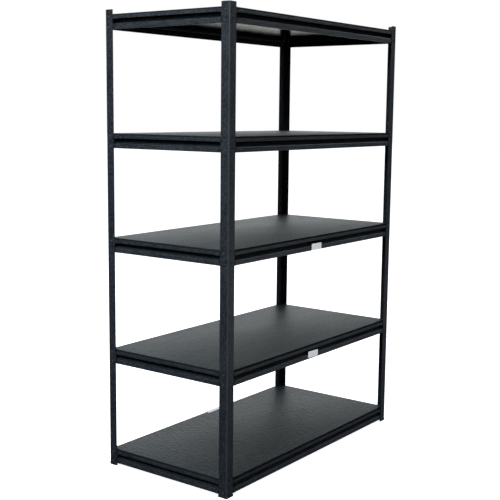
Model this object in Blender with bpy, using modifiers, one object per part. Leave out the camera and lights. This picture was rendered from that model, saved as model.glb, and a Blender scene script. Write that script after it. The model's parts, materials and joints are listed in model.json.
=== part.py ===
"""Five-shelf boltless steel shelving unit, modelled as it is assembled.

Frame: +X along the long side, -Y is the front, +Z up, origin on the floor at the unit's centre.
Four L-angle posts, each in two halves, carry beams on five levels. A beam's end tabs lie behind the
post's legs, and their headed rivets hook into keyholes. A loose board lies on the ledges of each
level's four beams.
"""

import math

import bmesh
import bpy
from mathutils import Matrix, Vector

# Overall size, over the outer faces of the posts
WIDTH = 1.2192
DEPTH = 0.6096
HEIGHT = 1.8288
GAP = 0.0003

# Posts: L angle of thin sheet, in two halves that meet at mid height
LEG = 0.0381
POST_SHEET = 0.0018
POST_BEND = 0.0040
POST_JOINT_Z = HEIGHT / 2

# Shelf levels: heights of the beams' lower edges above the floor
SHELF_LEVELS = (0.0105, 0.4300, 0.8840, 1.2970, 1.7540)

# Beams: two flat bands with a groove between them, rolled from one sheet. The bands stop before the
# posts' legs, and the groove, the ledge and the lip run on behind them
BAND = 0.0190
UPPER_BAND = 0.0130
BEAM_HEIGHT = 2 * BAND + UPPER_BAND
BEAM_SHEET = 0.0015
BEAM_BEND = 0.0025
GROOVE_DEPTH = 0.0140
GROOVE_SLOPE = 0.0050
BEAM_LIP = 0.0090
BEND_SEGMENTS = 3
BAND_TO_LEG = 0.0050
GROOVE_TO_CORNER = 0.0200
GROOVE_BEHIND_LEG = 0.0006

# Beam ends: a joggled strip from each band to one plate that lies behind the post's leg
TAB_SHEET = 0.0012
TAB_INSET = 0.00015
TAB_LAP = 0.0120
TAB_JOGGLE = 0.0030
TAB_MARGIN = 0.0002
TAB_TO_CORNER = 0.0065
PLATE_HEIGHT = 0.0570

# Rivets, and the keyholes that they hook into; the end plate covers both keyholes from behind
RIVET_BELOW_MIDDLE = 0.0032
RIVET_PITCH = 0.0381
RIVET_SIDES = 10
SHANK_RADIUS = 0.0031
HEAD_RADIUS = 0.0048
HEAD_TOP_RADIUS = 0.0033
HEAD_HEIGHT = 0.0015
SLOT_RADIUS = 0.0037
HOLE_RADIUS = 0.0055
HOLE_RISE = 0.0068
HOLE_SEGMENTS = 6
SLOT_SEGMENTS = 4

# Boards
BOARD_THICKNESS = 0.0180
BOARD_INSET = 0.0085
BOARD_EDGE = 0.0008

# Feet
FOOT_BASE = 0.0025
FOOT_WALL = 0.0015
FOOT_HEIGHT = 0.0098

# Blank paper labels: two on front beams (level index, middle along X, middle height, tilt), one on a board
LABEL_LENGTH = 0.072
LABEL_HEIGHT = 0.027
LABEL_THICKNESS = 0.0004
BEAM_LABELS = ((2, -0.018, 0.0140, 0.0), (1, -0.029, 0.0180, 2.0))
BOARD_LABEL_LENGTH = 0.110
BOARD_LABEL_WIDTH = 0.024
BOARD_LABEL_X = 0.060
BOARD_LABEL_OVERHANG = 0.0055

OBJECT_NAME = "boltless_shelving"


# ---------------------------------------------------------------- helpers


def clear_scene():
    for thing in list(bpy.data.objects):
        bpy.data.objects.remove(thing, do_unlink=True)


def new_collection(name):
    collection = bpy.data.collections.new(name)
    bpy.context.scene.collection.children.link(collection)
    return collection


def new_material(name, color, roughness, metallic):
    material = bpy.data.materials.new(name)
    material.use_nodes = True
    shader = material.node_tree.nodes["Principled BSDF"]
    shader.inputs["Base Color"].default_value = (*color, 1.0)
    shader.inputs["Roughness"].default_value = roughness
    shader.inputs["Metallic"].default_value = metallic
    return material


def add_object(name, mesh, collection):
    thing = bpy.data.objects.new(name, mesh)
    collection.objects.link(thing)
    return thing


def evaluated_mesh(thing):
    """A plain mesh of the object as its modifiers leave it, with loose caps welded."""
    bpy.context.view_layer.update()
    graph = bpy.context.evaluated_depsgraph_get()
    mesh = bpy.data.meshes.new_from_object(thing.evaluated_get(graph))
    shape = bmesh.new()
    shape.from_mesh(mesh)
    bmesh.ops.remove_doubles(shape, verts=shape.verts, dist=0.00001)
    shape.to_mesh(mesh)
    shape.free()
    return mesh


def fillet(points, radius, segments):
    """The open 2D line with each inner corner replaced by an arc of the given radius."""
    line = [Vector(points[0])]
    for before, corner, after in zip(points, points[1:], points[2:]):
        corner = Vector(corner)
        inward = (Vector(before) - corner).normalized()
        outward = (Vector(after) - corner).normalized()
        half_angle = inward.angle(outward) / 2
        reach = radius / math.tan(half_angle)
        centre = corner + (inward + outward).normalized() * radius / math.sin(half_angle)
        start = corner + inward * reach - centre
        sweep = start.angle_signed(corner + outward * reach - centre)
        for step in range(segments + 1):
            angle = -sweep * step / segments
            turned = Matrix.Rotation(angle, 2) @ start
            line.append(centre + turned)
    line.append(Vector(points[-1]))
    return line


def bent_sheet(name, line, length, thickness, collection):
    """Sheet metal: a bent line in the local YZ plane, drawn out along X and thickened to one side."""
    shape = bmesh.new()
    rows = []
    for end in (-length / 2, length / 2):
        rows.append([shape.verts.new((end, u, v)) for u, v in line])
    for k in range(len(line) - 1):
        shape.faces.new((rows[0][k], rows[1][k], rows[1][k + 1], rows[0][k + 1]))
    mesh = bpy.data.meshes.new(name)
    shape.to_mesh(mesh)
    shape.free()
    sheet = add_object(name, mesh, collection)
    solidify = sheet.modifiers.new("sheet", "SOLIDIFY")
    solidify.thickness = thickness
    solidify.offset = -1.0
    solidify.use_even_offset = True
    return sheet


def flat_outline(name, points, thickness, collection):
    """A flat plate: a closed outline in the local XY plane, thickened by the given amount about it."""
    curve = bpy.data.curves.new(name, "CURVE")
    curve.dimensions = "2D"
    curve.fill_mode = "BOTH"
    curve.extrude = thickness / 2
    spline = curve.splines.new("POLY")
    spline.points.add(len(points) - 1)
    for point, (x, y) in zip(spline.points, points):
        point.co = (x, y, 0.0, 1.0)
    spline.use_cyclic_u = True
    outline = bpy.data.objects.new(name, curve)
    collection.objects.link(outline)
    mesh = evaluated_mesh(outline)
    bpy.data.objects.remove(outline, do_unlink=True)
    return mesh


def join_meshes(name, placed_meshes):
    """One mesh holding each given mesh, moved by its own matrix."""
    shape = bmesh.new()
    for mesh, matrix in placed_meshes:
        copy = mesh.copy()
        copy.transform(matrix)
        shape.from_mesh(copy)
        bpy.data.meshes.remove(copy)
    joined = bpy.data.meshes.new(name)
    shape.to_mesh(joined)
    shape.free()
    return joined


def boolean(target, cutter, operation):
    cutter.display_type = "WIRE"
    cutter.hide_render = True
    modifier = target.modifiers.new(operation.lower(), "BOOLEAN")
    modifier.operation = operation
    modifier.solver = "EXACT"
    modifier.object = cutter


def shade(mesh, angle):
    mesh.shade_smooth()
    mesh.set_sharp_from_angle(angle=math.radians(angle))


def stand(x, y, quarter_turns, z=0.0):
    """Placement of a corner or side piece: turned about Z in quarter turns, then moved."""
    return Matrix.Translation((x, y, z)) @ Matrix.Rotation(quarter_turns * math.pi / 2, 4, "Z")


def box_mesh(name, size):
    shape = bmesh.new()
    bmesh.ops.create_cube(shape, size=1.0)
    bmesh.ops.scale(shape, vec=Vector(size), verts=shape.verts)
    mesh = bpy.data.meshes.new(name)
    shape.to_mesh(mesh)
    shape.free()
    return mesh


# ---------------------------------------------------------------- beams


def beam_line():
    """The beam's section, inward distance and height: lip, lower band, groove, ledge, upper band."""
    corners = (
        (BEAM_LIP, 0.0),
        (0.0, 0.0),
        (0.0, BAND),
        (GROOVE_DEPTH, BAND + GROOVE_SLOPE),
        (GROOVE_DEPTH, 2 * BAND),
        (0.0, 2 * BAND),
        (0.0, BEAM_HEIGHT),
    )
    return fillet(corners, BEAM_BEND, BEND_SEGMENTS)


def band_spans():
    """Lowest and highest point of the lower and the upper band."""
    return (0.0, BAND), (2 * BAND, BEAM_HEIGHT)


def rivet_heights():
    lower = BAND / 2 - RIVET_BELOW_MIDDLE
    return lower, lower + RIVET_PITCH


def end_strip_mesh(outer, height, collection):
    """An upright strip of the tabs' sheet whose outer face follows the given line in plan."""
    inner = [(x, u + TAB_SHEET) for x, u in reversed(outer)]
    return flat_outline("end_strip", [*outer, *inner], height, collection)


def end_strips(length, collection):
    """The strips at the beam's +X end, each with its middle height: two joggled tabs and the end plate."""
    behind_leg = POST_SHEET + GAP
    band_end = length / 2 - LEG - BAND_TO_LEG
    joggled = (
        (band_end - TAB_LAP, TAB_INSET),
        (band_end, TAB_INSET),
        (band_end + TAB_JOGGLE, behind_leg),
        (length / 2 - LEG / 2, behind_leg),
    )
    strips = []
    for low, high in band_spans():
        tab = end_strip_mesh(joggled, high - low - 2 * TAB_MARGIN, collection)
        strips.append((tab, (low + high) / 2))
    flat = ((band_end + TAB_JOGGLE, behind_leg), (length / 2 - TAB_TO_CORNER, behind_leg))
    plate = end_strip_mesh(flat, PLATE_HEIGHT - TAB_MARGIN, collection)
    strips.append((plate, (PLATE_HEIGHT + TAB_MARGIN) / 2))
    return strips


def rivet_mesh():
    """A headed rivet along Y: its head is outside the leg at -Y, and its shank ends in the tab."""
    tab_middle = POST_SHEET + GAP + TAB_SHEET / 2
    neck = -GAP - HEAD_HEIGHT / 2
    shape = bmesh.new()
    bmesh.ops.create_cone(
        shape,
        cap_ends=True,
        segments=RIVET_SIDES,
        radius1=HEAD_RADIUS,
        radius2=HEAD_TOP_RADIUS,
        depth=HEAD_HEIGHT,
        matrix=Matrix.Translation((0, -GAP - HEAD_HEIGHT / 2, 0)) @ Matrix.Rotation(math.pi / 2, 4, "X"),
    )
    head = bpy.data.meshes.new("rivet_head")
    shape.to_mesh(head)
    shape.clear()
    bmesh.ops.create_cone(
        shape,
        cap_ends=True,
        segments=RIVET_SIDES,
        radius1=SHANK_RADIUS,
        radius2=SHANK_RADIUS,
        depth=tab_middle - neck,
        matrix=Matrix.Translation((0, (tab_middle + neck) / 2, 0)) @ Matrix.Rotation(math.pi / 2, 4, "X"),
    )
    shank = bpy.data.meshes.new("rivet_shank")
    shape.to_mesh(shank)
    shape.free()
    return head, shank


def band_end_cutter(name, length, cutters):
    """Two blocks that take away a beam's bands beyond their ends, down to just behind the legs."""
    block = box_mesh("band_end", (LEG, 2 * LEG, 2 * BEAM_HEIGHT))
    behind_leg = POST_SHEET + GAP + GROOVE_BEHIND_LEG
    along = length / 2 - LEG - BAND_TO_LEG + LEG / 2
    ends = []
    for side in (-1, 1):
        ends.append((block, Matrix.Translation((side * along, behind_leg - LEG, BEAM_HEIGHT / 2))))
    return add_object(name + "_band_ends", join_meshes(name + "_band_ends", ends), cutters)


def beam_mesh(name, length, cutters):
    """One beam, lying along X with its outer face at y = 0: bent sheet, end plates and four rivets."""
    sheet = bent_sheet(name, beam_line(), length - 2 * GROOVE_TO_CORNER, BEAM_SHEET, cutters)
    boolean(sheet, band_end_cutter(name, length, cutters), "DIFFERENCE")
    head, shank = rivet_mesh()
    mirror = Matrix.Scale(-1, 4, Vector((1, 0, 0)))
    shanks = []
    heads = []
    additions = []
    for number, (strip, height) in enumerate(end_strips(length, cutters)):
        lift = Matrix.Translation((0, 0, height))
        additions.append((f"strips_{number}", [(strip, lift), (strip, lift @ mirror)]))
    for height in rivet_heights():
        for side in (-1, 1):
            place = Matrix.Translation((side * (length / 2 - LEG / 2), 0, height))
            shanks.append((shank, place))
            heads.append((head, place))
    for label, pieces in (*additions, ("shanks", shanks), ("heads", heads)):
        mesh = join_meshes(name + "_" + label, pieces)
        shape = bmesh.new()
        shape.from_mesh(mesh)
        bmesh.ops.recalc_face_normals(shape, faces=shape.faces)
        shape.to_mesh(mesh)
        shape.free()
        boolean(sheet, add_object(name + "_" + label, mesh, cutters), "UNION")
    mesh = evaluated_mesh(sheet)
    mesh.name = name
    sheet.hide_render = True
    sheet.display_type = "WIRE"
    shade(mesh, 35)
    return mesh


# ---------------------------------------------------------------- posts


def keyhole_outline():
    """The keyhole around the seated rivet's axis: a round slot end, and the wide hole above it."""
    opening = math.acos(SLOT_RADIUS / HOLE_RADIUS)
    outline = []
    for step in range(HOLE_SEGMENTS + 1):
        angle = -opening + (math.pi + 2 * opening) * step / HOLE_SEGMENTS
        outline.append((HOLE_RADIUS * math.cos(angle), HOLE_RISE + HOLE_RADIUS * math.sin(angle)))
    for step in range(SLOT_SEGMENTS + 1):
        angle = math.pi + math.pi * step / SLOT_SEGMENTS
        outline.append((SLOT_RADIUS * math.cos(angle), SLOT_RADIUS * math.sin(angle)))
    return outline


def post_line():
    """The post's section in a corner frame: both legs run along +X and +Y from the outer corner."""
    return fillet(((LEG, 0.0), (0.0, 0.0), (0.0, LEG)), POST_BEND, BEND_SEGMENTS)


def post_mesh(name, low, high, cutters):
    """A post half from height low to high, its legs along +X and +Y, with its keyholes cut."""
    sheet = bent_sheet(name, post_line(), high - low, POST_SHEET, cutters)
    upright = Matrix.Translation((0, 0, (low + high) / 2)) @ Matrix(
        ((0, 1, 0, 0), (0, 0, 1, 0), (1, 0, 0, 0), (0, 0, 0, 1))
    )
    sheet.data.transform(upright)
    keyhole = flat_outline("keyhole", keyhole_outline(), 4 * POST_SHEET, cutters)
    face_front = Matrix.Rotation(math.pi / 2, 4, "X")
    holes = []
    for level in SHELF_LEVELS:
        for rivet_height in rivet_heights():
            height = level + rivet_height
            if low < height < high:
                holes.append((keyhole, Matrix.Translation((LEG / 2, 0, height)) @ face_front))
                turned = Matrix.Translation((0, LEG / 2, height)) @ Matrix.Rotation(math.pi / 2, 4, "Z")
                holes.append((keyhole, turned @ face_front))
    cutter = add_object(name + "_keyholes", join_meshes(name + "_keyholes", holes), cutters)
    boolean(sheet, cutter, "DIFFERENCE")
    mesh = evaluated_mesh(sheet)
    mesh.name = name
    sheet.hide_render = True
    sheet.display_type = "WIRE"
    shade(mesh, 35)
    return mesh


# ---------------------------------------------------------------- boards, feet and labels


def board_mesh():
    size = (WIDTH - 2 * BOARD_INSET, DEPTH - 2 * BOARD_INSET, BOARD_THICKNESS)
    mesh = box_mesh("board", size)
    shape = bmesh.new()
    shape.from_mesh(mesh)
    bmesh.ops.bevel(shape, geom=shape.edges[:], offset=BOARD_EDGE, segments=1, affect="EDGES")
    shape.to_mesh(mesh)
    shape.free()
    shade(mesh, 50)
    return mesh


def angle_outline(outside, inside):
    """A closed L outline in a corner frame, grown from the post's section by outside and inside."""
    end = LEG + outside
    inner = POST_SHEET + inside
    outer_corners = ((end, -outside), (-outside, -outside), (-outside, end))
    inner_corners = ((inner, end), (inner, inner), (end, inner))
    outer_line = fillet(outer_corners, POST_BEND + outside, BEND_SEGMENTS)
    inner_line = fillet(inner_corners, POST_BEND - POST_SHEET - inside, BEND_SEGMENTS)
    return outer_line + inner_line


def foot_mesh(cutters):
    """A plastic shoe: an L block with a pocket that the post's end stands in."""
    outline = angle_outline(FOOT_WALL, FOOT_WALL)
    foot = add_object("foot", flat_outline("foot", outline, FOOT_HEIGHT, cutters), cutters)
    foot.data.transform(Matrix.Translation((0, 0, FOOT_HEIGHT / 2)))
    pocket_mesh = flat_outline("foot_pocket", angle_outline(GAP, GAP), FOOT_HEIGHT, cutters)
    pocket_mesh.transform(Matrix.Translation((0, 0, FOOT_BASE + FOOT_HEIGHT / 2)))
    boolean(foot, add_object("foot_pocket", pocket_mesh, cutters), "DIFFERENCE")
    mesh = evaluated_mesh(foot)
    foot.hide_render = True
    foot.display_type = "WIRE"
    return mesh


def label_mesh(name, length, height):
    return box_mesh(name, (length, LABEL_THICKNESS, height))


# ---------------------------------------------------------------- the unit


def place(name, mesh, matrix, material, collection):
    thing = add_object(name, mesh, collection)
    thing.matrix_world = matrix
    thing.data.materials.clear()
    thing.data.materials.append(material)
    return thing


def build():
    clear_scene()
    parts = new_collection(OBJECT_NAME)
    cutters = new_collection("cutters")

    post_paint = new_material("post_paint", (0.018, 0.022, 0.028), 0.45, 0.0)
    beam_paint = new_material("beam_paint", (0.016, 0.019, 0.023), 0.45, 0.0)
    board_face = new_material("board_face", (0.030, 0.031, 0.032), 0.35, 0.0)
    foot_plastic = new_material("foot_plastic", (0.010, 0.010, 0.010), 0.6, 0.0)
    label_paper = new_material("label_paper", (0.80, 0.80, 0.79), 0.7, 0.0)

    corners = {
        "front_left": (-WIDTH / 2, -DEPTH / 2, 0),
        "front_right": (WIDTH / 2, -DEPTH / 2, 1),
        "rear_right": (WIDTH / 2, DEPTH / 2, 2),
        "rear_left": (-WIDTH / 2, DEPTH / 2, 3),
    }

    lower_post = post_mesh("post_lower", FOOT_BASE + GAP, POST_JOINT_Z - GAP / 2, cutters)
    upper_post = post_mesh("post_upper", POST_JOINT_Z + GAP / 2, HEIGHT, cutters)
    foot = foot_mesh(cutters)
    for corner, (x, y, turns) in corners.items():
        place("post_lower_" + corner, lower_post, stand(x, y, turns), post_paint, parts)
        place("post_upper_" + corner, upper_post, stand(x, y, turns), post_paint, parts)
        place("foot_" + corner, foot, stand(x, y, turns), foot_plastic, parts)

    long_beam = beam_mesh("beam_long", WIDTH, cutters)
    short_beam = beam_mesh("beam_short", DEPTH, cutters)
    sides = {
        "front": (long_beam, 0.0, -DEPTH / 2, 0),
        "right": (short_beam, WIDTH / 2, 0.0, 1),
        "rear": (long_beam, 0.0, DEPTH / 2, 2),
        "left": (short_beam, -WIDTH / 2, 0.0, 3),
    }
    board = board_mesh()
    board_bottom = 2 * BAND + BEAM_SHEET + GAP
    for number, level in enumerate(SHELF_LEVELS, start=1):
        for side, (mesh, x, y, turns) in sides.items():
            place(f"beam_{number}_{side}", mesh, stand(x, y, turns, level), beam_paint, parts)
        middle = level + board_bottom + BOARD_THICKNESS / 2
        place(f"board_{number}", board, Matrix.Translation((0, 0, middle)), board_face, parts)

    before_band = -DEPTH / 2 - GAP - LABEL_THICKNESS / 2
    for index, along, height, tilt in BEAM_LABELS:
        mesh = label_mesh("label_beam", LABEL_LENGTH, LABEL_HEIGHT)
        spot = Matrix.Translation((along, before_band, SHELF_LEVELS[index] + height))
        turned = spot @ Matrix.Rotation(math.radians(tilt), 4, "Y")
        place(f"label_beam_{index + 1}", mesh, turned, label_paper, parts)
    mesh = label_mesh("label_board", BOARD_LABEL_LENGTH, BOARD_LABEL_WIDTH)
    board_top = SHELF_LEVELS[0] + board_bottom + BOARD_THICKNESS
    label_y = DEPTH / 2 - BOARD_INSET + BOARD_LABEL_OVERHANG - BOARD_LABEL_WIDTH / 2
    spot = Matrix.Translation((BOARD_LABEL_X, label_y, board_top + GAP + LABEL_THICKNESS / 2))
    place("label_board_1", mesh, spot @ Matrix.Rotation(math.pi / 2, 4, "X"), label_paper, parts)


build()
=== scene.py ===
"""Looks for the boltless steel shelving: hammered powder coat, laminated boards, paper labels, light."""

import json
import math

import bmesh
import bpy
from mathutils import Matrix, Vector


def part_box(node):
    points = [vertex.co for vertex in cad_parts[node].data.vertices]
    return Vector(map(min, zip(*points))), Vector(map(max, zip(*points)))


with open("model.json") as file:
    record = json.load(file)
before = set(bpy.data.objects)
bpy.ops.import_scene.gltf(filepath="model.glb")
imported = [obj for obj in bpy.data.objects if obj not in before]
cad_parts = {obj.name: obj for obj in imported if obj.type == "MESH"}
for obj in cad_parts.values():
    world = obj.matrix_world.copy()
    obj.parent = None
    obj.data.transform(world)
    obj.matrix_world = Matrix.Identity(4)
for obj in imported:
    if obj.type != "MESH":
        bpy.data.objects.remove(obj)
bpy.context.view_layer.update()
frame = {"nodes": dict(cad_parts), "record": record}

# Camera, in the shelving's own frame: metres, degrees and millimetres
CAMERA_PLACE = (-3.361, -2.441, 1.4435)
CAMERA_YAW = 53.47
CAMERA_PITCH = -8.10
CAMERA_ROLL = 0.58
CAMERA_LENS = 69.91
SENSOR = 36.0

# Powder coat: how fine its patterns are, per metre
PAINT_CELLS = 260.0
PAINT_GRAIN = 900.0
PAINT_MOTTLE = 170.0
PAINT_PATCHES = 9.0
PAINT_SPECULAR = 0.28
POST_DARK = (0.007, 0.010, 0.014)
POST_LIGHT = (0.024, 0.030, 0.039)
BEAM_DARK = (0.009, 0.013, 0.017)
BEAM_LIGHT = (0.029, 0.038, 0.047)
# Lighter paint on edges is wear made partly a painted highlight; on the posts' outer bends it is a painted
# highlight
EDGE_WEAR_HIGHLIGHT_WIDTH = 0.0018
BEND_HIGHLIGHT = 0.8
BEND_HIGHLIGHT_FADES = 0.0045
BEND_HIGHLIGHT_FULL = 0.0010
# Painted shade: beam grooves and recesses darken to near black within this reach; ledges facing up less so
GROOVE_SHADE_REACH = 0.022
GROOVE_SHADE_TONE = 0.03
LEDGE_OPENNESS = 0.6

# Boards: how fine the laminate's patterns are, per metre, its colours, and its scuffed front
LAMINATE_PEBBLES = 150.0
LAMINATE_COARSE = 70.0
LAMINATE_CLOUDS = 3.2
LAMINATE_RIPPLES = 80.0
LAMINATE_SMEARS = 2.0
LAMINATE_DARK = (0.002, 0.005, 0.006)
LAMINATE_LIGHT = (0.010, 0.018, 0.023)
LONG_RIM = (0.011, 0.013, 0.015)
END_RIM = (0.014, 0.018, 0.022)
# The underside's near black is painted shade
UNDERSIDE_SHADE = (0.0015, 0.0020, 0.0025)
LAMINATE_SPECULAR = 0.3
BARE_SPECULAR = 0.012
BARE_ROUGHNESS_SHARE = 0.22
SCUFFED_Y = -0.30
SMOOTH_Y = 0.15
SCUFF_SLANT = 0.25
SCUFFED_ROUGHNESS = 0.65
SMOOTH_ROUGHNESS = 0.475
SMEAR_ROUGHNESS = 0.02

# Labels
PAPER_FIBRES = 500.0
PAPER_COCKLE = 40.0
PAPER_DARK = (0.86, 0.88, 0.92)
PAPER_LIGHT = (0.94, 0.95, 0.97)
# The labels glow a little: painted light, as they are no lamp
PAPER_PAINTED_GLOW = 0.17
PRINT_COLOR = (0.20, 0.21, 0.23)
PRINT_STRENGTH = 0.18
PRINT_ACROSS = (0.20, 0.80)
PRINT_UP = (0.30, 0.62)
PRINT_BARS = 45.0

# Feet
PLASTIC_GRAIN = 1200.0
PLASTIC_DUST = 60.0
PLASTIC_DARK = (0.008, 0.008, 0.009)
PLASTIC_LIGHT = (0.020, 0.019, 0.018)

# Surroundings
FLOOR_REACH = 40.0
FLOOR_GLOW = 0.92
DARK_STUDIO = (0.010, 0.011, 0.012)

# Soft glow around the object: its direction, the cosines off it where it starts and is full, and its colour
GLOWS = (
    ((0.0, 0.0, 1.0), 0.60, 0.98, (0.22, 0.23, 0.25)),
    ((0.86, 0.51, 0.02), 0.87, 0.99, (1.44, 1.42, 1.36)),
    ((0.90, 0.43, 0.90), 0.50, 0.97, (0.52, 0.61, 0.67)),
    ((-0.75, 0.50, 0.40), 0.45, 0.95, (0.04, 0.05, 0.06)),
    ((0.75, -0.50, 0.30), 0.45, 0.95, (0.08, 0.085, 0.09)),
)

# Soft boxes: name, place, the point they face, width and height, power
SOFT_BOXES = (
    ("key", (-4.2, -0.4, 4.2), (-0.5, 0.0, 1.0), (1.6, 3.2), 345.0),
    ("front", (0.9, -6.5, 4.0), (0.1, -0.2, 0.8), (3.0, 2.0), 105.0),
    ("rear", (0.2, 6.2, 4.2), (0.0, 0.2, 0.8), (3.0, 2.0), 120.0),
    ("right", (6.4, -1.0, 4.2), (0.4, 0.0, 0.8), (2.0, 2.0), 80.0),
    ("low front", (0.9, -2.4, 0.25), (0.2, -0.3, 0.6), (3.0, 0.4), 10.0),
)


# ---------------------------------------------------------------- node helpers


def new_material(name):
    material = bpy.data.materials.new(name)
    material.use_nodes = True
    tree = material.node_tree
    tree.nodes.clear()
    shader = tree.nodes.new("ShaderNodeBsdfPrincipled")
    output = tree.nodes.new("ShaderNodeOutputMaterial")
    tree.links.new(shader.outputs["BSDF"], output.inputs["Surface"])
    return material, tree, shader


def coordinates(tree):
    """Positions in the shelving's frame, so the pattern differs from piece to piece."""
    return tree.nodes.new("ShaderNodeTexCoord").outputs["Object"]


def split(tree, vector):
    made = tree.nodes.new("ShaderNodeSeparateXYZ")
    tree.links.new(vector, made.inputs["Vector"])
    return made.outputs


def noise(tree, vector, scale, detail=2.0, roughness=0.5):
    made = tree.nodes.new("ShaderNodeTexNoise")
    tree.links.new(vector, made.inputs["Vector"])
    made.inputs["Scale"].default_value = scale
    made.inputs["Detail"].default_value = detail
    made.inputs["Roughness"].default_value = roughness
    return made.outputs["Fac"]


def smooth_cells(tree, vector, scale):
    made = tree.nodes.new("ShaderNodeTexVoronoi")
    made.feature = "SMOOTH_F1"
    tree.links.new(vector, made.inputs["Vector"])
    made.inputs["Scale"].default_value = scale
    return made.outputs["Distance"]


def stretch(tree, vector, scale):
    made = tree.nodes.new("ShaderNodeMapping")
    tree.links.new(vector, made.inputs["Vector"])
    made.inputs["Scale"].default_value = scale
    return made.outputs["Vector"]


def remap(tree, value, low, high, to_low=0.0, to_high=1.0):
    """The value carried from one range to another, and held at its ends."""
    made = tree.nodes.new("ShaderNodeMapRange")
    made.clamp = True
    tree.links.new(value, made.inputs["Value"])
    made.inputs["From Min"].default_value = low
    made.inputs["From Max"].default_value = high
    made.inputs["To Min"].default_value = to_low
    made.inputs["To Max"].default_value = to_high
    return made.outputs["Result"]


def maths(tree, operation, first, second):
    made = tree.nodes.new("ShaderNodeMath")
    made.operation = operation
    for socket, value in zip(made.inputs, (first, second)):
        if isinstance(value, float):
            socket.default_value = value
        else:
            tree.links.new(value, socket)
    return made.outputs["Value"]


def size_of(tree, value):
    return maths(tree, "ABSOLUTE", value, 0.0)


def mostly(tree, first, second):
    """Four parts of the first value to one of the second."""
    return maths(tree, "ADD", maths(tree, "MULTIPLY", first, 0.8), maths(tree, "MULTIPLY", second, 0.2))


def mix_color(tree, factor, first, second):
    made = tree.nodes.new("ShaderNodeMix")
    made.data_type = "RGBA"
    tree.links.new(factor, made.inputs["Factor"])
    for name, value in (("A", first), ("B", second)):
        socket = [s for s in made.inputs if s.name == name and s.type == "RGBA"][0]
        if isinstance(value, tuple):
            socket.default_value = (*value, 1.0)
        else:
            tree.links.new(value, socket)
    return [s for s in made.outputs if s.type == "RGBA"][0]


def bump(tree, height, strength, distance, under=None):
    made = tree.nodes.new("ShaderNodeBump")
    made.inputs["Strength"].default_value = strength
    made.inputs["Distance"].default_value = distance
    tree.links.new(height, made.inputs["Height"])
    if under is not None:
        tree.links.new(under, made.inputs["Normal"])
    return made.outputs["Normal"]


# ---------------------------------------------------------------- masks


def edges(tree, width):
    """One on sharp convex or concave edges, falling to zero at the given width from them."""
    rounded = tree.nodes.new("ShaderNodeBevel")
    rounded.samples = 4
    rounded.inputs["Radius"].default_value = width
    true = tree.nodes.new("ShaderNodeNewGeometry")
    dot = tree.nodes.new("ShaderNodeVectorMath")
    dot.operation = "DOT_PRODUCT"
    tree.links.new(rounded.outputs["Normal"], dot.inputs[0])
    tree.links.new(true.outputs["Normal"], dot.inputs[1])
    return remap(tree, dot.outputs["Value"], 0.995, 0.85)


def openness(tree, reach, low, high):
    """One on open faces, falling to zero deep in grooves and corners: the mask for painted shade."""
    made = tree.nodes.new("ShaderNodeAmbientOcclusion")
    made.samples = 8
    made.inputs["Distance"].default_value = reach
    return remap(tree, made.outputs["AO"], low, high)


def facing(tree, axis):
    """The face's direction along one axis, from minus one to one: along Z, level tops are one."""
    return split(tree, tree.nodes.new("ShaderNodeTexCoord").outputs["Normal"])[axis]


def behind_a_leg(tree, place):
    """One at the four corners, where a post's legs cover the beams' ends."""
    across = split(tree, place)
    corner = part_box("post_lower_front_left")[1]
    along = maths(tree, "GREATER_THAN", size_of(tree, across["X"]), abs(corner[0]))
    aside = maths(tree, "GREATER_THAN", size_of(tree, across["Y"]), abs(corner[1]))
    return maths(tree, "MULTIPLY", along, aside)


def bend_highlight_mask(tree, place):
    """One along the outer bend of a post, where the two legs meet: the mask for a painted highlight."""
    across = split(tree, place)
    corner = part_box("post_lower_front_left")[0]
    near = []
    for axis, outside in (("X", abs(corner[0])), ("Y", abs(corner[1]))):
        away = size_of(tree, across[axis])
        near.append(remap(tree, away, outside - BEND_HIGHLIGHT_FADES, outside - BEND_HIGHLIGHT_FULL))
    return maths(tree, "MULTIPLY", near[0], near[1])


def window(tree, value, low, high, soft):
    """One between two values, zero outside them."""
    rise = remap(tree, value, low - soft, low + soft)
    return maths(tree, "MULTIPLY", rise, remap(tree, value, high - soft, high + soft, 1.0, 0.0))


def printed_bars(tree):
    """A block of fine upright bars in the middle of a label, with a plain margin all round."""
    across = split(tree, tree.nodes.new("ShaderNodeTexCoord").outputs["Generated"])
    columns = window(tree, across["X"], *PRINT_ACROSS, 0.01)
    rows = window(tree, across["Z"], *PRINT_UP, 0.01)
    bars = tree.nodes.new("ShaderNodeTexNoise")
    bars.noise_dimensions = "1D"
    tree.links.new(across["X"], bars.inputs["W"])
    bars.inputs["Scale"].default_value = PRINT_BARS
    bars.inputs["Detail"].default_value = 1.0
    ink = remap(tree, bars.outputs["Fac"], 0.48, 0.52, 0.0, PRINT_STRENGTH)
    return maths(tree, "MULTIPLY", maths(tree, "MULTIPLY", columns, rows), ink)


# ---------------------------------------------------------------- materials


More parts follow.
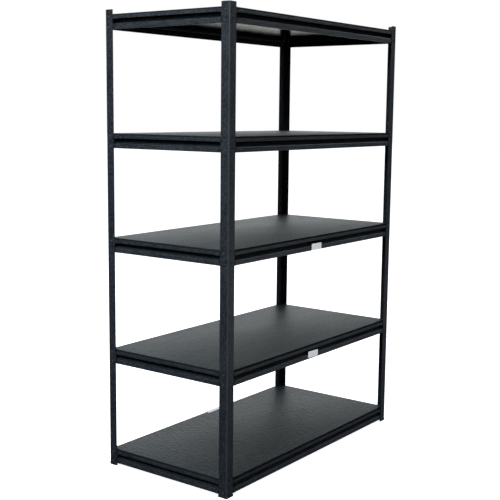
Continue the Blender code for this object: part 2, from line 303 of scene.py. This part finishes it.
def hammered_paint(name, base, light, paint_groove_shade):
    """Powder coat with a hammered skin: small smooth bumps, mottling, paint that is thin on edges (partly a
    painted highlight), a painted highlight on the posts' outer bends, and, with paint_groove_shade, grooves
    painted dark as shade."""
    material, tree, shader = new_material(name)
    shader.inputs["Specular IOR Level"].default_value = PAINT_SPECULAR
    place = coordinates(tree)
    cells = smooth_cells(tree, place, PAINT_CELLS)
    fine = noise(tree, place, PAINT_GRAIN, 3.0)
    mottle = noise(tree, place, PAINT_MOTTLE)
    patches = noise(tree, place, PAINT_PATCHES, 3.0)
    color = mix_color(tree, remap(tree, mostly(tree, mottle, patches), 0.43, 0.57), base, light)
    # Lighter paint: edge wear that is partly a painted highlight, and a painted highlight on the posts'
    # outer bends
    wear_and_highlight = maths(tree, "MULTIPLY", edges(tree, EDGE_WEAR_HIGHLIGHT_WIDTH), remap(tree, mottle, 0.42, 0.62, 0.1, 0.7))
    wear_and_highlight = maths(tree, "MAXIMUM", wear_and_highlight, maths(tree, "MULTIPLY", bend_highlight_mask(tree, place), BEND_HIGHLIGHT))
    color = mix_color(tree, wear_and_highlight, color, tuple(1.8 * c + 0.01 for c in light))
    # Painted shade: grooves and recesses darkened, and their reflections weakened, where occlusion finds
    # them
    if paint_groove_shade:
        lit_share = openness(tree, GROOVE_SHADE_REACH, 0.62, 0.90)
        # The painted shade is left off behind the posts' legs and partly off up-facing ledges
        lit_share = maths(tree, "MAXIMUM", lit_share, behind_a_leg(tree, place))
        ledges = remap(tree, facing(tree, "Z"), 0.4, 0.8, 0.0, LEDGE_OPENNESS)
        lit_share = maths(tree, "MAXIMUM", lit_share, ledges)
        color = mix_color(tree, lit_share, tuple(GROOVE_SHADE_TONE * c for c in base), color)
        specular = maths(tree, "MULTIPLY", lit_share, PAINT_SPECULAR)
        tree.links.new(specular, shader.inputs["Specular IOR Level"])
    tree.links.new(color, shader.inputs["Base Color"])
    tree.links.new(remap(tree, mottle, 0.3, 0.7, 0.38, 0.52), shader.inputs["Roughness"])
    grain = bump(tree, fine, 0.15, 0.0002)
    tree.links.new(bump(tree, cells, 0.8, 0.0010, grain), shader.inputs["Normal"])
    return material


def board_laminate(name):
    """Dark laminated board: a pebbled face that is scuffed matt towards the front left, thin grey rims,
    and a smooth underside painted near black as shade."""
    material, tree, shader = new_material(name)
    shader.inputs["Specular IOR Level"].default_value = LAMINATE_SPECULAR
    place = coordinates(tree)
    pebbles = noise(tree, place, LAMINATE_PEBBLES)
    coarse = noise(tree, place, LAMINATE_COARSE, 3.0, 0.6)
    clouds = noise(tree, place, LAMINATE_CLOUDS, 4.0, 0.55)
    shade = remap(tree, mostly(tree, coarse, clouds), 0.42, 0.58)
    face = mix_color(tree, shade, LAMINATE_DARK, LAMINATE_LIGHT)

    top = remap(tree, facing(tree, "Z"), 0.3, 0.6)
    # The underside is painted near black as shade
    under = remap(tree, facing(tree, "Z"), -0.6, -0.3, 1.0, 0.0)
    ends = remap(tree, size_of(tree, facing(tree, "X")), 0.3, 0.6)
    bare = mix_color(tree, under, mix_color(tree, ends, LONG_RIM, END_RIM), UNDERSIDE_SHADE)
    tree.links.new(mix_color(tree, top, bare, face), shader.inputs["Base Color"])
    specular = remap(tree, top, 0.0, 1.0, BARE_SPECULAR, LAMINATE_SPECULAR)
    tree.links.new(specular, shader.inputs["Specular IOR Level"])

    across = split(tree, place)
    diagonal = maths(tree, "ADD", across["Y"], maths(tree, "MULTIPLY", across["X"], SCUFF_SLANT))
    scuffed = remap(tree, diagonal, SCUFFED_Y, SMOOTH_Y, SCUFFED_ROUGHNESS, SMOOTH_ROUGHNESS)
    smears = noise(tree, stretch(tree, place, (3.0, 11.0, 11.0)), LAMINATE_SMEARS, 5.0, 0.65)
    matt = maths(tree, "ADD", scuffed, remap(tree, smears, 0.3, 0.7, -SMEAR_ROUGHNESS, SMEAR_ROUGHNESS))
    share = remap(tree, top, 0.0, 1.0, BARE_ROUGHNESS_SHARE, 1.0)
    tree.links.new(maths(tree, "MULTIPLY", matt, share), shader.inputs["Roughness"])

    ripples = noise(tree, stretch(tree, place, (1.3, 0.8, 1.0)), LAMINATE_RIPPLES)
    grain = bump(tree, coarse, 0.45, 0.0022, bump(tree, pebbles, 0.4, 0.0010))
    rippled = bump(tree, maths(tree, "MULTIPLY", ripples, top), 0.6, 0.0055, grain)
    tree.links.new(rippled, shader.inputs["Normal"])
    return material


def paper(name):
    """White paper with faint fibres, a little unevenness and a block of grey bars, lightened by a painted
    glow.
    """
    material, tree, shader = new_material(name)
    place = coordinates(tree)
    fibres = noise(tree, place, PAPER_FIBRES, 4.0, 0.7)
    cockle = noise(tree, place, PAPER_COCKLE)
    tone = remap(tree, maths(tree, "MULTIPLY", fibres, cockle), 0.1, 0.4)
    sheet = mix_color(tree, tone, PAPER_DARK, PAPER_LIGHT)
    printed = mix_color(tree, printed_bars(tree), sheet, PRINT_COLOR)
    tree.links.new(printed, shader.inputs["Base Color"])
    # Painted light: the paper glows a little in its own colour
    tree.links.new(printed, shader.inputs["Emission Color"])
    shader.inputs["Emission Strength"].default_value = PAPER_PAINTED_GLOW
    tree.links.new(remap(tree, fibres, 0.3, 0.7, 0.30, 0.42), shader.inputs["Roughness"])
    tree.links.new(bump(tree, cockle, 0.2, 0.0008), shader.inputs["Normal"])
    return material


def foot_plastic(name):
    """Matt black moulded plastic with a fine grain and a little dust."""
    material, tree, shader = new_material(name)
    place = coordinates(tree)
    grain = noise(tree, place, PLASTIC_GRAIN)
    dust = noise(tree, place, PLASTIC_DUST, 4.0)
    color = mix_color(tree, remap(tree, dust, 0.4, 0.7), PLASTIC_DARK, PLASTIC_LIGHT)
    tree.links.new(color, shader.inputs["Base Color"])
    tree.links.new(remap(tree, dust, 0.3, 0.7, 0.5, 0.7), shader.inputs["Roughness"])
    tree.links.new(bump(tree, grain, 0.3, 0.0002), shader.inputs["Normal"])
    return material


def finish_nodes():
    """Gives every CAD node the finish of its slot."""
    finishes = {
        "post_paint": hammered_paint("post_finish", POST_DARK, POST_LIGHT, False),
        "beam_paint": hammered_paint("beam_finish", BEAM_DARK, BEAM_LIGHT, True),
        "board_face": board_laminate("board_finish"),
        "foot_plastic": foot_plastic("foot_finish"),
        "label_paper": paper("label_finish"),
    }
    for row in frame["record"]["subparts"]:
        thing = frame["nodes"][row["node"]]
        thing.data.materials.clear()
        thing.data.materials.append(finishes[row["material_slot"]])


# ---------------------------------------------------------------- surroundings


def make_floor():
    """A wide pale floor that meets the pale backdrop in the distance. It throws no light on the steel."""
    shape = bmesh.new()
    bmesh.ops.create_grid(shape, x_segments=1, y_segments=1, size=FLOOR_REACH)
    mesh = bpy.data.meshes.new("floor")
    shape.to_mesh(mesh)
    shape.free()
    floor = bpy.data.objects.new("floor", mesh)
    floor.visible_diffuse = False
    floor.visible_glossy = False
    bpy.context.scene.collection.objects.link(floor)
    material, _, shader = new_material("floor_finish")
    shader.inputs["Base Color"].default_value = (0.92, 0.92, 0.92, 1.0)
    shader.inputs["Roughness"].default_value = 0.9
    shader.inputs["Specular IOR Level"].default_value = 0.0
    shader.inputs["Emission Color"].default_value = (1.0, 1.0, 1.0, 1.0)
    shader.inputs["Emission Strength"].default_value = FLOOR_GLOW
    mesh.materials.append(material)


def make_world():
    """White to the camera. The object is lit by soft glows and mirrors a bright backdrop behind it."""
    world = bpy.data.worlds.new("studio")
    world.use_nodes = True
    tree = world.node_tree
    tree.nodes.clear()
    direction = tree.nodes.new("ShaderNodeTexCoord").outputs["Generated"]
    color = None
    for axis, low, high, glow_color in GLOWS:
        dot = tree.nodes.new("ShaderNodeVectorMath")
        dot.operation = "DOT_PRODUCT"
        tree.links.new(direction, dot.inputs[0])
        dot.inputs[1].default_value = Vector(axis).normalized()
        glow = tree.nodes.new("ShaderNodeMapRange")
        glow.interpolation_type = "SMOOTHSTEP"
        tree.links.new(dot.outputs["Value"], glow.inputs["Value"])
        glow.inputs["From Min"].default_value = low
        glow.inputs["From Max"].default_value = high
        tinted = tree.nodes.new("ShaderNodeVectorMath")
        tinted.operation = "SCALE"
        tinted.inputs[0].default_value = glow_color
        tree.links.new(glow.outputs["Result"], tinted.inputs["Scale"])
        added = tree.nodes.new("ShaderNodeVectorMath")
        added.operation = "ADD"
        tree.links.new(tinted.outputs["Vector"], added.inputs[0])
        if color is None:
            added.inputs[1].default_value = DARK_STUDIO
        else:
            tree.links.new(color, added.inputs[1])
        color = added.outputs["Vector"]
    studio = tree.nodes.new("ShaderNodeBackground")
    tree.links.new(color, studio.inputs["Color"])
    backdrop = tree.nodes.new("ShaderNodeBackground")
    backdrop.inputs["Color"].default_value = (1.0, 1.0, 1.0, 1.0)
    seen = tree.nodes.new("ShaderNodeLightPath")
    choice = tree.nodes.new("ShaderNodeMixShader")
    tree.links.new(seen.outputs["Is Camera Ray"], choice.inputs["Fac"])
    tree.links.new(studio.outputs["Background"], choice.inputs[1])
    tree.links.new(backdrop.outputs["Background"], choice.inputs[2])
    output = tree.nodes.new("ShaderNodeOutputWorld")
    tree.links.new(choice.outputs["Shader"], output.inputs["Surface"])
    bpy.context.scene.world = world
    bpy.context.scene.view_settings.view_transform = "Standard"


def make_lights():
    """Large soft boxes high on every side, and a weak low strip in front, none of them seen directly."""
    for name, place, target, size, power in SOFT_BOXES:
        data = bpy.data.lights.new(name, "AREA")
        data.shape = "RECTANGLE"
        data.size, data.size_y = size
        data.energy = power
        light = bpy.data.objects.new(name, data)
        light.location = place
        light.rotation_mode = "QUATERNION"
        light.rotation_quaternion = (Vector(target) - Vector(place)).to_track_quat("-Z", "Y")
        light.visible_camera = False
        bpy.context.scene.collection.objects.link(light)


def make_camera():
    yaw, pitch, roll = (math.radians(a) for a in (CAMERA_YAW, CAMERA_PITCH, CAMERA_ROLL))
    forward = Vector((math.sin(yaw) * math.cos(pitch), math.cos(yaw) * math.cos(pitch), math.sin(pitch)))
    level = Vector((math.cos(yaw), -math.sin(yaw), 0.0))
    upright = level.cross(forward)
    right = math.cos(roll) * level + math.sin(roll) * upright
    up = math.cos(roll) * upright - math.sin(roll) * level
    data = bpy.data.cameras.new("camera")
    data.lens = CAMERA_LENS
    data.sensor_width = SENSOR
    camera = bpy.data.objects.new("camera", data)
    turn = Matrix((right, up, -forward)).transposed()
    camera.matrix_world = Matrix.Translation(CAMERA_PLACE) @ turn.to_4x4()
    bpy.context.scene.collection.objects.link(camera)
    bpy.context.scene.camera = camera


finish_nodes()
make_floor()
make_world()
make_lights()
make_camera()
